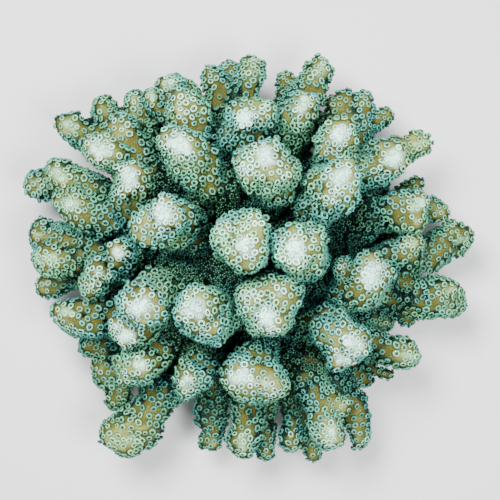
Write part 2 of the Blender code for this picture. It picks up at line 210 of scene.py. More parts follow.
RIM_LIMBS = {
    "rim_limb_east": [
        [(28, 8.5, 12.4, 5.4), (38, 13.2, 26, 6), (45.5, 14.8, 34, 5.7), (50.8, 16.4, 37, 4.8)],
        [(45.5, 14.8, 34, 5), (50.2, 12, 38, 4.1)],
        [(40, 13, 24, 4.6), (51, 15.4, 24, 3.9), (58.2, 14.2, 26, 3.2)],
        [(40, 14.5, 26, 3.8), (46, 19, 27, 3), (51, 22.6, 26, 2.4)],
        [(29, 10, 13.5, 4), (34, 16, 14, 4), (39, 22, 15, 3.6)],
    ],
    "rim_limb_northeast": [
        [(20.5, 18.5, 16.5, 6), (26.5, 26, 27, 6.6), (27, 30.5, 41, 5.7), (27.8, 36.8, 50, 5.2)],
        [(27, 30.5, 41, 5), (26, 32.5, 48, 4.6)],
        [(26.5, 26, 27, 6), (36, 27.3, 36, 6.1), (42.8, 29.8, 42, 5.8)],
        [(34, 27.5, 31, 4.8), (44.5, 31.6, 31, 4.2), (51.2, 34.4, 32, 3.8)],
        [(25, 28, 24, 5), (27.5, 39, 21, 4.4), (28, 47, 23, 3.9)],
        [(28, 29, 24, 5), (33.5, 39, 23, 4.2), (35, 47, 25, 3.4)],
        [(33, 37, 22.5, 3.5), (41.8, 43.2, 22, 2.5)],
    ],
    "rim_limb_north_northeast": [
        [(10.5, 25.5, 17, 5.4), (12.5, 36, 30, 5.9), (14.3, 41.5, 40, 5.4), (17, 46, 46, 4.8)],
        [(12.8, 38, 29, 5.2), (18.6, 50.5, 29, 5.2), (22, 56.2, 30, 4.4)],
        [(12, 38, 27, 4.4), (12, 48.5, 26, 3.4), (11.8, 54.5, 26, 2.2)],
        [(12, 27, 15, 4.2), (17, 35, 13.5, 4), (20, 42, 13.5, 3.6)],
    ],
    "rim_limb_north": [
        [(-2, 27, 18, 5.8), (-1.8, 34, 29, 6), (-1.5, 37, 41, 5.8), (-0.6, 41.8, 50, 5)],
        [(-1.5, 37, 41, 5), (4, 44, 49.5, 4.6)],
        [(-3, 34, 26, 5), (-7, 45, 24, 4.4), (-10, 54, 25, 3.8)],
        [(-3, 37, 24, 4.6), (-4.3, 47, 20, 4), (-4.6, 56.3, 21, 3.5)],
        [(-2, 36, 27, 5), (-0.8, 47, 28, 4.7), (1.5, 57.2, 29, 4.2)],
        [(-4, 30, 14.5, 4), (-9, 41, 14, 3.6)],
        [(1, 30, 14.5, 4), (6.5, 42, 14, 3.6)],
    ],
    "rim_limb_north_northwest": [
        [(-13, 24, 17.4, 5), (-14.4, 34, 31, 5.6), (-15.5, 41, 41, 5.7), (-18.3, 45.3, 46, 5.4)],
        [(-14.5, 37, 29, 5.2), (-20, 46.5, 34, 4.4), (-22.6, 51.3, 37, 3.9)],
        [(-16, 38, 27, 4.6), (-23.5, 45, 31, 3.8), (-28, 48.6, 33, 3.3)],
        [(-14.5, 39, 27, 4.4), (-16.5, 47, 27, 3.8), (-18, 51.5, 28, 3.3)],
    ],
    "rim_limb_northwest": [
        [(-22, 17.5, 15.7, 5.4), (-30, 26.5, 29, 6.4), (-38, 30.8, 38, 5.9), (-43.3, 32.2, 42, 5.6)],
        [(-31, 30, 30, 5), (-33.5, 36.5, 34, 4.8), (-37.8, 39.3, 37, 4.6)],
        [(-29, 30, 26, 5), (-31.5, 41, 27, 4.3), (-33.4, 47, 28, 3.8)],
        [(-32, 29, 25, 5.6), (-41, 35.5, 24, 5), (-52, 39.7, 27, 4.3)],
        [(-38.5, 34, 24, 4.6), (-42.3, 45.3, 26, 3.9)],
        [(-22, 20, 15, 4.2), (-24.5, 31, 14, 4), (-26, 40, 14, 3.6)],
    ],
    "rim_limb_west_northwest": [
        [(-28, 6.4, 14.5, 5.4), (-33, 11, 28, 6.5), (-34, 16.5, 39, 6), (-34.5, 23.7, 48, 5.6)],
        [(-33, 11, 28, 6), (-42, 12.5, 34, 5.5), (-52.3, 15.7, 36, 5.1)],
        [(-37, 14.5, 27, 5.4), (-47, 20.5, 30, 5.2), (-55.8, 25, 32, 5)],
        [(-44, 17.5, 25, 4.6), (-54, 20.4, 22, 4.4), (-63, 22.4, 24, 4.2)],
    ],
    "rim_limb_west": [
        [(-28, -6.5, 14.4, 5.6), (-38, -3, 25, 6.1), (-48, 1, 29, 5.5), (-58.3, 0, 30, 5)],
        [(-46, 2, 27, 4.8), (-53, 5.5, 24, 4.6), (-60.3, 7, 24, 4.5)],
        [(-42, -4, 23, 4.6), (-51, -6, 19, 4.1), (-59.5, -7.4, 19, 3.6)],
        [(-38, -4, 27, 5.2), (-42, -3.6, 36, 4.7), (-43.6, -3.6, 40, 4.4)],
        [(-42, -3.6, 36, 4.4), (-46, -7.6, 39, 4.1)],
        [(-37, -2.5, 28, 4.8), (-37, 0.5, 37, 4.5), (-37.5, 2, 43.5, 4.3)],
        [(-31, -4, 12.5, 4), (-39, 2.5, 12, 3.8), (-46.5, 7.5, 12.5, 3.5)],
    ],
    "rim_limb_southwest": [
        [(-21, -19, 15.3, 6), (-27.5, -23.5, 25, 6.4), (-28.5, -29, 35, 5.6), (-31.8, -31.6, 42, 4.9)],
        [(-28.5, -29, 35, 4.8), (-35, -33.2, 40, 4.4)],
        [(-29, -22, 25, 5.6), (-42.5, -16.9, 30, 5), (-52.5, -15.6, 33.5, 4.7)],
        [(-43, -17, 30, 4.7), (-51.5, -19.2, 33, 4.5)],
        [(-31, -22.5, 22, 5), (-39.5, -25, 21, 4.4), (-46.7, -24.7, 23, 4)],
        [(-29, -27, 21, 5), (-37.5, -34.5, 20, 4.3), (-42.6, -34, 21, 3.8)],
        [(-36, -33.5, 20, 4), (-39.3, -43, 19, 3)],
    ],
    "rim_limb_south_southwest": [
        [(-9, -25.5, 17.9, 5.8), (-12.5, -29.5, 27, 6), (-15, -33.5, 37, 5.2), (-18, -36.9, 43, 4.8)],
        [(-13, -29.5, 22, 5.8), (-24, -37.5, 24, 5.7), (-28.5, -45.5, 25, 5.8), (-32.5, -51, 26, 5.8)],
        [(-32.5, -51, 26, 5.7), (-37.2, -53, 27, 5.6)],
        [(-32.5, -50, 27, 4), (-40.2, -50.8, 27, 3.2)],
        [(-12, -31, 20, 4.8), (-10, -42, 18, 5), (-10.2, -54, 18, 3.6)],
        [(-11, -28, 14, 4.2), (-15.5, -36.5, 13, 3.8)],
    ],
    "rim_limb_south": [
        [(3, -26, 19.2, 5.5), (3, -30.5, 32, 6.3), (3, -33.5, 42, 6.7), (-2.3, -34.6, 48, 5.2)],
        [(3, -33.5, 42, 6), (7.4, -37.4, 47, 5.3)],
        [(3, -33.5, 42, 5.8), (2.6, -36.5, 48.5, 5.3)],
        [(2.5, -31, 24, 5.4), (0.8, -43, 26, 5.1), (-1, -53.8, 29, 5)],
        [(4, -33, 22, 4.6), (5, -46, 18, 3.8), (5.5, -57.8, 19, 3.2)],
        [(5, -29.5, 14.5, 4), (9.5, -40, 13.5, 3.6)],
    ],
    "rim_limb_south_southeast": [
        [(14.5, -25.3, 13.5, 5.4), (18, -33, 25, 5.6), (21.5, -42, 32, 5.1), (25.2, -52, 36, 4.8)],
        [(23, -43, 32, 3.6), (28.2, -43.8, 33, 3)],
        [(16.5, -33, 21, 4.8), (14.3, -45, 22, 4.3), (14, -53.6, 23, 4)],
        [(17.5, -36, 19, 4.2), (19, -48, 16.5, 3.4), (20, -58.6, 17, 2.9)],
        [(19, -32, 21, 4.8), (30.5, -40.5, 21, 4.2), (34, -53, 21, 3.5)],
    ],
    "rim_limb_southeast": [
        [(24.5, -15.5, 13.4, 5), (33, -22, 23, 5), (41, -26.5, 27, 4.7), (48, -28.8, 29, 4.4)],
        [(33, -23.5, 21, 3.6), (38, -32.5, 19, 2.4), (42.7, -34.5, 19, 1.9)],
        [(33, -20.5, 20, 4), (38.5, -18.5, 20, 3.4), (41.6, -19, 21, 2.7)],
        [(26, -19, 13.5, 4), (31, -28, 13, 3.8), (34, -35.5, 13.5, 3.4)],
    ],
    "rim_limb_east_southeast": [
        [(28.7, -4, 13.5, 5.8), (39, -4, 22, 6), (45, 0.8, 28, 5.4), (48.8, 4.2, 32, 4.8)],
        [(40, -3.5, 21, 5.4), (49, -1, 19, 5), (56.5, 2.3, 20, 4.8), (63.4, 5.4, 22, 4.4)],
        [(56.5, 2.3, 20, 4), (61, 8, 23, 3.2)],
        [(36, -6, 18, 5.4), (46, -11, 21, 5.3), (56, -11.5, 24, 5.3), (60.3, -9.6, 25, 4.4)],
        [(56, -11.5, 24, 5), (60.2, -13.4, 25, 4.4)],
        [(40, -10, 17.5, 3.8), (48.6, -17.2, 17, 3.1)],
        [(31, -2.2, 13.5, 4.1), (39, 2.8, 13.5, 4), (46, 7, 14, 3.6)],
    ],
}

LIMBS = {**CROWN_LIMBS, **RIM_LIMBS}


# Shapes as functions

def true_rings(finger, from_foot):
    """The real rings of a finger: seen x, y and radius shrink by (eye - height) / eye.

    The first finger of a limb starts a little way inside the foot, on the line to its centre.
    """
    rings = np.array(finger, dtype=float)
    rings[:, [0, 1, 3]] *= (1.0 - rings[:, 2:3] / EYE_HEIGHT)
    if from_foot:
        start = rings[0].copy()
        start[:3] += ROOT_INSET * (np.array([0.0, 0.0, FOOT_CENTRE]) - start[:3])
        rings = np.vstack([start, rings])
    return rings


def eased_path(rings, steps):
    """Points and radii along a curve through the rings.

    Between two rings it is the cubic whose slope at each ring is half the way from the ring
    before to the ring after, so the curve runs through every ring without a corner.
    """
    slope = np.empty_like(rings)
    slope[1:-1] = (rings[2:] - rings[:-2]) / 2.0
    slope[0] = rings[1] - rings[0]
    slope[-1] = rings[-1] - rings[-2]
    t = (np.arange(steps) / steps)[None, :, None]
    a, b = rings[:-1, None, :], rings[1:, None, :]
    m, n = slope[:-1, None, :], slope[1:, None, :]
    curve = (
        (2 * t**3 - 3 * t**2 + 1) * a
        + (t**3 - 2 * t**2 + t) * m
        + (3 * t**2 - 2 * t**3) * b
        + (t**3 - t**2) * n
    )
    return np.vstack([curve.reshape(-1, rings.shape[1]), rings[-1:]])


def across(direction):
    """Two unit vectors square to each direction and to each other."""
    aside = np.where(np.abs(direction[:, 2:3]) > 0.9, [[1.0, 0.0, 0.0]], [[0.0, 0.0, 1.0]])
    first = np.cross(direction, aside)
    first /= np.linalg.norm(first, axis=1, keepdims=True)
    return first, np.cross(direction, first)


def round_finger(rings, sides=18, steps=5, cap=5):
    """A circle carried along the eased path, with half a ball at each end.

    At angle v the point is the path's point plus radius times (cos v, sin v) in the plane
    square to the path. In the half balls the circle shrinks as the cosine and moves out as
    the sine of a second angle, and the last circle is one pole.
    """
    path = eased_path(rings, steps)
    along = np.gradient(path[:, :3], axis=0)
    along /= np.linalg.norm(along, axis=1, keepdims=True)
    lean = (np.arange(1, cap) / cap) * math.pi / 2
    head = path[-1:].repeat(cap - 1, axis=0)
    head[:, :3] += along[-1] * path[-1, 3] * np.sin(lean)[:, None]
    head[:, 3] *= np.cos(lean)
    tail = path[:1].repeat(cap - 1, axis=0)
    tail[:, :3] -= along[0] * path[0, 3] * np.sin(lean)[:, None]
    tail[:, 3] *= np.cos(lean)
    rows = np.vstack([tail[::-1], path, head])
    heading = np.vstack([along[:1].repeat(cap - 1, 0), along, along[-1:].repeat(cap - 1, 0)])
    whole = along.mean(axis=0)
    aside = np.eye(3)[np.argmin(np.abs(whole))]
    first = np.cross(heading, aside)
    first /= np.linalg.norm(first, axis=1, keepdims=True)
    second = np.cross(heading, first)
    v = np.arange(sides) * 2 * math.pi / sides
    circle = np.cos(v)[None, :, None] * first[:, None] + np.sin(v)[None, :, None] * second[:, None]
    points = rows[:, None, :3] + rows[:, None, 3:4] * circle
    poles = np.array([
        path[0, :3] - along[0] * path[0, 3],
        path[-1, :3] + along[-1] * path[-1, 3],
    ])
    count = len(rows)
    points = np.vstack([points.reshape(-1, 3), poles])
    ring = np.arange(sides)
    after = (ring + 1) % sides
    row = np.arange(count - 1)[:, None] * sides
    quads = np.stack([row + ring, row + after, row + sides + after, row + sides + ring], axis=-1)
    last = (count - 1) * sides
    low = np.stack([np.full(sides, count * sides), after, ring], axis=-1)
    high = np.stack([np.full(sides, count * sides + 1), last + ring, last + after], axis=-1)
    return points, quads.reshape(-1, 4).tolist() + low.tolist() + high.tolist()


class Growth:
    """The body of a limb as a distance: under zero inside, zero on the skin, over zero outside.

    Each finger is a row of cones with round ends between the points of its path. The distance
    to a cone is the way to its axis less the radius there. The nearest cone gives the finger's
    distance, and the fingers are fused by -k log(sum(exp(-d / k))), which fills their forks.
    """

    def __init__(self, fingers, bare_ends=None):
        starts, ends, owners, tips = [], [], [], []
        for number, finger in enumerate(fingers):
            path = eased_path(true_rings(finger, number == 0), CONES_BETWEEN_RINGS)
            starts.append(path[:-1])
            ends.append(path[1:])
            owners.append(sum(len(s) for s in starts[:-1]))
            heading = path[-1, :3] - path[-3, :3]
            heading /= np.linalg.norm(heading)
            length = np.linalg.norm(np.diff(path[:, :3], axis=0), axis=1).sum()
            bareness = np.clip(length / FULL_CAP_LENGTH, LOBE_CAP, 1.0)
            if bare_ends:
                bareness = bare_ends[number]
            crown = heading + [0.0, 0.0, CAP_RISE]
            crown /= np.linalg.norm(crown)
            end = path[-1, :3] + crown * path[-1, 3]
            back = -CAP_LENGTH * path[-1, 3] * heading * [1.0, 1.0, 0.0]
            tips.append(np.r_[end, path[-1, 3], bareness, back])
        self.start = np.vstack(starts).astype(np.float32)
        self.way = (np.vstack(ends) - np.vstack(starts)).astype(np.float32)
        self.first_of_finger = owners
        self.tips = np.array(tips)
        self.reach = (self.way[:, :3] ** 2).sum(axis=1)

    def distance(self, points):
        """The fused distance at each point, and the radius of the cone nearest to it."""
        points = points.astype(np.float32)
        offset = points[:, None] - self.start[None, :, :3]
        share = np.einsum("nsk,sk->ns", offset, self.way[:, :3]) / self.reach
        share = share.clip(0.0, 1.0)
        offset -= share[:, :, None] * self.way[None, :, :3]
        radius = self.start[:, 3] + share * self.way[:, 3]
        gap = np.sqrt((offset**2).sum(axis=2)) - radius
        finger = np.minimum.reduceat(gap, self.first_of_finger, axis=1)
        nearest = finger.min(axis=1, keepdims=True)
        spread = np.exp((nearest - finger) / FORK_SOFTNESS).sum(axis=1)
        thickness = np.take_along_axis(radius, gap.argmin(axis=1)[:, None], axis=1)[:, 0]
        return nearest[:, 0] - FORK_SOFTNESS * np.log(spread), thickness


def soft_noise(points, span, seed, waves=18):
    """A smooth random field of about that span, mostly between -1.5 and 1.5.

    It is the sum of sine waves that run in random directions, over the root of their number.
    """
    rng = np.random.default_rng(seed)
    direction = rng.normal(size=(waves, 3))
    direction /= np.linalg.norm(direction, axis=1, keepdims=True)
    pace = 2 * math.pi / (span * rng.uniform(0.75, 1.5, waves))
    phase = rng.uniform(0, 2 * math.pi, waves)
    return np.sin(points @ (direction * pace[:, None]).T + phase).sum(axis=1) / math.sqrt(waves)


def foot_distance(points):
    """About how far a point is outside the foot's half-ellipsoid, in millimetres."""
    scaled = (points - [0, 0, FOOT_CENTRE]) / [FOOT_RADIUS, FOOT_RADIUS, FOOT_RISE]
    return (np.linalg.norm(scaled, axis=1) - 1.0) * FOOT_RISE


def lumpy_skin(growth, points):
    """The limb's distance, less lumps and small knobs, and flared where it meets the foot.

    The lumps fall off as the square of the radius on a finger that is thinner than full.
    """
    distance, thickness = growth.distance(points)
    stout = np.clip(thickness / FULL_RADIUS, 0.0, 1.0) ** 2
    lumps = LUMP_HEIGHT * soft_noise(points, LUMP_SPAN, 5) * stout
    knobs = KNOB_HEIGHT * soft_noise(points, KNOB_SPAN, 6) * stout
    flare = ROOT_FLARE * np.exp(-np.maximum(foot_distance(points), 0.0) / ROOT_FLARE_REACH)
    return distance + POLYP_HEIGHT - lumps - knobs - flare


def slope_of(field, points, step=0.08):
    """The field's value and its gradient, from one small step along each axis."""
    value = field(points)
    moved = [field(points + step * axis) - value for axis in np.eye(3)]
    return value, np.stack(moved, axis=1) / step


def settle(field, points, rounds=3, most=1.2):
    """Moves points on to the zero of the field, each time by value over slope, downhill."""
    for _ in range(rounds):
        value, slope = slope_of(field, points)
        steepness = np.maximum((slope**2).sum(axis=1, keepdims=True), 0.2)
        move = value[:, None] * slope / steepness
        size = np.linalg.norm(move, axis=1, keepdims=True)
        points = points - move * np.minimum(1.0, most / np.maximum(size, 1e-6))
    return points


def depth_of(points):
    """How far below the canopy a point lies: 0 on its half-ellipsoid, 1 at the centre."""
    scaled = points / [CANOPY_RADIUS, CANOPY_RADIUS, CANOPY_HEIGHT]
    return np.clip(1.0 - np.linalg.norm(scaled, axis=1), 0.0, 1.0)


def tip_of(points, tips):
    """How much a point belongs to a fingertip: 1 at a tip's end, 0 two radii away."""
    away = np.linalg.norm(points[:, None] - tips[None, :, TIP_END], axis=2) / tips[None, :, TIP_RADIUS]
    return np.clip(1.0 - away.min(axis=1) / 2.0, 0.0, 1.0)


def shade_of(points, tips):
    """How much painted shade the growth gets: 0 at a tip, 1 far below the canopy and far from every tip."""
    away = np.linalg.norm(points[:, None] - tips[None, :, TIP_END], axis=2).min(axis=1)
    return np.clip(SHADE_BY_DEPTH * depth_of(points) + away / SHADE_REACH, 0.0, 1.0)


def steepness_of(slope):
    """How far the surface turns from the sky: 0 faces up, 1 is upright, 2 faces down."""
    return 1.0 - slope[:, 2] / np.linalg.norm(slope, axis=1)


def crest_of(points, slope):
    """How much the surface is a finger's crest: 1 where it faces the sky, 0 on the flanks.

    The crown's fingers lean less than the rim's, so more of the turn is allowed for high up.
    """
    height = points[:, 2] / CANOPY_HEIGHT
    allowed = CROWN_TURN * np.clip((height - LOW_CREST) / (HIGH_CREST - LOW_CREST), 0.0, 1.0)
    return np.clip((FLANK_TURN - steepness_of(slope) + allowed) / (FLANK_TURN - CREST_TURN), 0.0, 1.0)


# Meshes and materials

def make_piece(name, points, faces, finish, values=None, uv=None):
    """A smooth mesh in metres at the origin, with its point values and its UV map."""
    mesh = bpy.data.meshes.new(name)
    mesh.from_pydata((points * MM).tolist(), [], faces)
    for label, data in (values or {}).items():
        column = mesh.attributes.new(label, "FLOAT", "POINT")
        column.data.foreach_set("value", np.asarray(data, dtype=np.float32))
    if uv is not None:
        layer = mesh.uv_layers.new(name="UVMap")
        layer.data.foreach_set("uv", uv.astype(np.float32).ravel())
    mesh.polygons.foreach_set("use_smooth", np.ones(len(mesh.polygons), dtype=bool))
    mesh.materials.append(finish)
    mesh.update()
    piece = bpy.data.objects.new(name, mesh)
    bpy.context.scene.collection.objects.link(piece)
    return piece


def fused_cage(fingers):
    """The fingers' tubes remeshed into one closed skin. Returns its points and faces."""
    points, faces, count = [], [], 0
    for number, finger in enumerate(fingers):
        some, some_faces = round_finger(true_rings(finger, number == 0))
        points.append(some)
        faces += [[corner + count for corner in face] for face in some_faces]
        count += len(some)
    mesh = bpy.data.meshes.new("cage")
    mesh.from_pydata(np.vstack(points).tolist(), [], faces)
    cage = bpy.data.objects.new("cage", mesh)
    bpy.context.scene.collection.objects.link(cage)
    fuse = cage.modifiers.new("fuse", "REMESH")
    fuse.mode = "VOXEL"
    fuse.voxel_size = SKIN_VOXEL
    bpy.context.view_layer.update()
    shape = cage.evaluated_get(bpy.context.evaluated_depsgraph_get())
    fused = bpy.data.meshes.new_from_object(shape)
    places = np.empty(len(fused.vertices) * 3, dtype=np.float32)
    fused.vertices.foreach_get("co", places)
    corners = np.empty(len(fused.loops), dtype=np.int32)
    fused.loops.foreach_get("vertex_index", corners)
    bpy.data.objects.remove(cage)
    bpy.data.meshes.remove(mesh)
    bpy.data.meshes.remove(fused)
    return places.reshape(-1, 3).astype(float), corners.reshape(-1, 4)


def scatter(points, quads, rng, spacing_of):
    """Even random places on a mesh of quads, none nearer to another than its spacing.

    Places are drawn by area on the quads' two triangles. Then each is taken in turn, unless
    one taken before lies within its spacing.
    """
    corners = np.vstack([quads[:, [0, 1, 2]], quads[:, [0, 2, 3]]])
    a, b, c = points[corners[:, 0]], points[corners[:, 1]], points[corners[:, 2]]
    area = np.linalg.norm(np.cross(b - a, c - a), axis=1) / 2
    tries = int(area.sum() / POLYP_SPACING**2 * CANDIDATES_A_POLYP)
    which = np.searchsorted(np.cumsum(area), rng.uniform(0, area.sum(), tries)).clip(0, len(area) - 1)
    r, s = rng.random((2, tries, 1))
    r = np.sqrt(r)
    places = (1 - r) * a[which] + r * (1 - s) * b[which] + r * s * c[which]
    spacing = spacing_of(places)
    tree = KDTree(tries)
    for number, place in enumerate(places):
        tree.insert(place, number)
    tree.balance()
    free = np.ones(tries, dtype=bool)
    kept = []
    for number in range(tries):
        if free[number]:
            kept.append(number)
            free[[found[1] for found in tree.find_range(places[number], spacing[number])]] = False
    return places[kept], spacing[kept]


def spread_out(field, places, spacing, rounds=4):
    """Pushes places apart until each has about its spacing, and sets them back on the skin.

    Neighbours should be RELAXED_SHARE times the sum of their spacings apart. In each round
    both move by PUSH_SHARE of what is missing.
    """
    itself = np.eye(len(places)) * 1e3
    for _ in range(rounds):
        between = places[:, None] - places[None]
        away = np.linalg.norm(between, axis=2) + itself
        wanted = RELAXED_SHARE * (spacing[:, None] + spacing[None])
        push = np.clip(1.0 - away / wanted, 0.0, 1.0) * wanted * PUSH_SHARE
        places = places + (between / away[:, :, None] * push[:, :, None]).sum(axis=1)
        places = settle(field, places, rounds=1)
    return places


def lobed(profile):
    """A crown's (reach, height) at each side. Every second side has what a lobe adds."""
    lobe = 0.5 + 0.5 * np.cos(np.arange(CROWN_SIDES) * math.pi)
    return np.stack([plain + more * lobe for plain, more in profile], axis=1)


def crown_faces(count):
    """Faces of that many crowns: cup triangles, wall quads and underside triangles.

    A crown's points are its mouth, its crest, its rim and its sunken root, in that order.
    """
    each = 2 * CROWN_SIDES + 2
    ring = np.arange(CROWN_SIDES)
    after = (ring + 1) % CROWN_SIDES
    crest, crest_next = 1 + ring, 1 + after
    rim, rim_next = 1 + CROWN_SIDES + ring, 1 + CROWN_SIDES + after
    root = np.full(CROWN_SIDES, each - 1)
    cup = np.stack([np.zeros(CROWN_SIDES, int), crest, crest_next], axis=1)
    wall = np.stack([crest, rim, rim_next, crest_next], axis=1)
    under = np.stack([root, rim_next, rim], axis=1)
    base = (np.arange(count) * each)[:, None, None]
    return [
        corners
        for faces in (cup, wall, under)
        for corners in (faces + base).reshape(-1, faces.shape[1]).tolist()
    ]


def crown_map(count):
    """UV of the same faces: across runs from mouth to underside, up runs once round the crown."""
    start = np.arange(CROWN_SIDES) / CROWN_SIDES
    end = (np.arange(CROWN_SIDES) + 1) / CROWN_SIDES
    middle = (start + end) / 2

    def at(reach, where):
        return np.stack([np.full(CROWN_SIDES, reach), where], axis=1)

    cup = [at(0.0, middle), at(CREST_ON_MAP, start), at(CREST_ON_MAP, end)]
    wall = [
        at(CREST_ON_MAP, start), at(RIM_ON_MAP, start), at(RIM_ON_MAP, end), at(CREST_ON_MAP, end),
    ]
    under = [at(UNDER_ON_MAP, middle), at(RIM_ON_MAP, end), at(RIM_ON_MAP, start)]
    corners = [np.stack(part, axis=1).reshape(-1, 2) for part in (cup, wall, under)]
    return np.vstack([np.tile(part, (count, 1)) for part in corners])


def polyps(name, places, axes, sizes, finish, values, rng):
    """All the polyps of a limb in one mesh.

    Each is a crown of rings turned about its own axis: mouth, crest, rim and a root that is
    sunk in the skin. At side number v the point is the place, plus the profile's reach in
    the plane square to the axis, plus its height along the axis, times the polyp's size.
    The buds on a growing tip stand about half as high.
    """
    count = len(places)
    stand = (sizes * (1.0 - BUD_DROP * values["cap"]))[:, None, None]
    first, second = across(axes)
    spoke = np.arange(CROWN_SIDES) * 2 * math.pi / CROWN_SIDES
    turn = rng.uniform(0, 2 * math.pi, (count, 1)) + spoke
    out = np.cos(turn)[..., None] * first[:, None] + np.sin(turn)[..., None] * second[:, None]
    long_way = rng.uniform(0, 2 * math.pi, (count, 1))
    oval = 1.0 + OVALNESS * np.cos(2 * (spoke - long_way))
    rings = []
    for profile in (lobed(CREST_PROFILE), lobed(RIM_PROFILE)):
        reach = profile[:, 0] * oval * rng.normal(1.0, REACH_SCATTER, (count, CROWN_SIDES)) * sizes[:, None]
        rise = profile[:, 1] * rng.normal(1.0, RISE_SCATTER, (count, CROWN_SIDES))
        rings.append(places[:, None] + reach[..., None] * out + stand * rise[..., None] * axes[:, None])
    mouth = places - axes * (MOUTH_DEPTH * sizes)[:, None]
    root = places - axes * (ROOT_DEPTH * sizes)[:, None]
    points = np.concatenate([mouth[:, None], *rings, root[:, None]], axis=1)
    spread = {label: np.repeat(data, points.shape[1]) for label, data in values.items()}
    return make_piece(name, points.reshape(-1, 3), crown_faces(count), finish, spread, crown_map(count))


class Finish:
    """A procedural material under construction, with short ways to add its nodes."""

    def __init__(self, name, roughness, gloss=None):
        self.material = bpy.data.materials.new(name)
        self.material.use_nodes = True
        self.nodes = self.material.node_tree.nodes
        self.links = self.material.node_tree.links
        self.shader = self.nodes["Principled BSDF"]
        self.shader.inputs["Roughness"].default_value = roughness
        if gloss is not None:
            self.shader.inputs["Specular IOR Level"].default_value = gloss

    def set(self, socket, value):
        """Puts a plain value on a socket, or links another socket to it."""
        if isinstance(value, (int, float, tuple)):
            socket.default_value = value
        else:
            self.links.new(value, socket)

    def colour(self, value):
        self.set(self.shader.inputs["Base Color"], value)

    def value_of(self, label):
        """One of the piece's own point values."""
        node = self.nodes.new("ShaderNodeAttribute")
        node.attribute_name = label
        return node.outputs["Fac"]

    def place(self):
        return self.nodes.new("ShaderNodeTexCoord").outputs["Object"]

    def split(self, vector):
        node = self.nodes.new("ShaderNodeSeparateXYZ")
        self.links.new(vector, node.inputs[0])
        return node.outputs

    def on_map(self):
        """The reach and the way round on the piece's UV map."""
        node = self.nodes.new("ShaderNodeUVMap")
        node.uv_map = "UVMap"
        sides = self.split(node.outputs["UV"])
        return sides["X"], sides["Y"]

    def ramp(self, value, stops):
        """Grey or colour by value, from stops as (where, number or colour)."""
        node = self.nodes.new("ShaderNodeValToRGB")
        self.links.new(value, node.inputs["Fac"])
        elements = node.color_ramp.elements
        while len(elements) < len(stops):
            elements.new(0.5)
        for element, (where, tone) in zip(elements, stops):
            element.position = where
            element.color = (*tone, 1.0) if isinstance(tone, tuple) else (tone, tone, tone, 1.0)
        return node.outputs["Color"]

    def maths(self, operation, a, b=0.0):
        node = self.nodes.new("ShaderNodeMath")
        node.operation = operation
        self.set(node.inputs[0], a)
        self.set(node.inputs[1], b)
        return node.outputs[0]

    def add(self, a, b):
        return self.maths("ADD", a, b)

    def times(self, a, b):
        return self.maths("MULTIPLY", a, b)

    def mix(self, share, a, b, blend="MIX"):
        node = self.nodes.new("ShaderNodeMix")
        node.data_type = "RGBA"
        node.blend_type = blend
        self.set(node.inputs["Factor"], share)
        self.set(node.inputs["A"], (*a, 1.0) if isinstance(a, tuple) else a)
        self.set(node.inputs["B"], (*b, 1.0) if isinstance(b, tuple) else b)
        return node.outputs["Result"]

    def grey(self, value):
        node = self.nodes.new("ShaderNodeCombineColor")
        for socket in ("Red", "Green", "Blue"):
            self.links.new(value, node.inputs[socket])
        return node.outputs[0]

    def noise(self, scale, detail=2.0):
        """Soft noise with about that many waves a metre."""
        node = self.nodes.new("ShaderNodeTexNoise")
        node.inputs["Scale"].default_value = scale
        node.inputs["Detail"].default_value = detail
        self.links.new(self.place(), node.inputs["Vector"])
        return node.outputs["Fac"]

    def swing(self, scale, amount):
        """Noise from minus to plus half that amount."""
        return self.times(self.maths("SUBTRACT", self.noise(scale), 0.5), amount)

    def cells(self, scale):
        """Distance to the nearest of about that many cell centres a metre."""
        node = self.nodes.new("ShaderNodeTexVoronoi")
        node.inputs["Scale"].default_value = scale
        self.links.new(self.place(), node.inputs["Vector"])
        return node.outputs["Distance"]

    def bump(self, height, strength, reach):
        node = self.nodes.new("ShaderNodeBump")
        node.inputs["Strength"].default_value = strength
        node.inputs["Distance"].default_value = reach
        self.links.new(height, node.inputs["Height"])
        self.links.new(node.outputs["Normal"], self.shader.inputs["Normal"])


# Colours of bare tips, of skin and of polyps, from light to dark. The olive, deep teal, near black, shadow
# green and dark teal tones are painted shade on skin, cups and rings
WHITE_MINT = (0.60, 1.0, 0.86)
CREAM = (0.42, 0.80, 0.44)
SKY_MINT = (0.19, 0.50, 0.34)
YELLOW_GREEN = (0.20, 0.20, 0.05)
GOLD = (0.075, 0.070, 0.010)
OLIVE = (0.026, 0.030, 0.008)
SHADE_DEEP_TEAL = (0.004, 0.016, 0.011)
SHADE_NEAR_BLACK = (0.001, 0.004, 0.003)
PALE_MINT = (0.22, 0.90, 0.60)
MID_MINT = (0.13, 0.50, 0.34)
SEA_GREEN = (0.075, 0.29, 0.20)
SHADOW_GREEN = (0.025, 0.10, 0.07)
SHADE_DARK_TEAL = (0.008, 0.034, 0.024)

# Two casts that drift over the rings
CYAN_CAST = (0.86, 1.0, 1.18)
LEAF_CAST = (1.25, 1.0, 0.80)

# Bare limestone, and what its pits multiply it by
SHADED_STONE = (0.50, 0.44, 0.33)
PALE_STONE = (0.72, 0.67, 0.55)
PIT_BROWN = (0.22, 0.19, 0.14)
NO_CHANGE = (1.0, 1.0, 1.0)

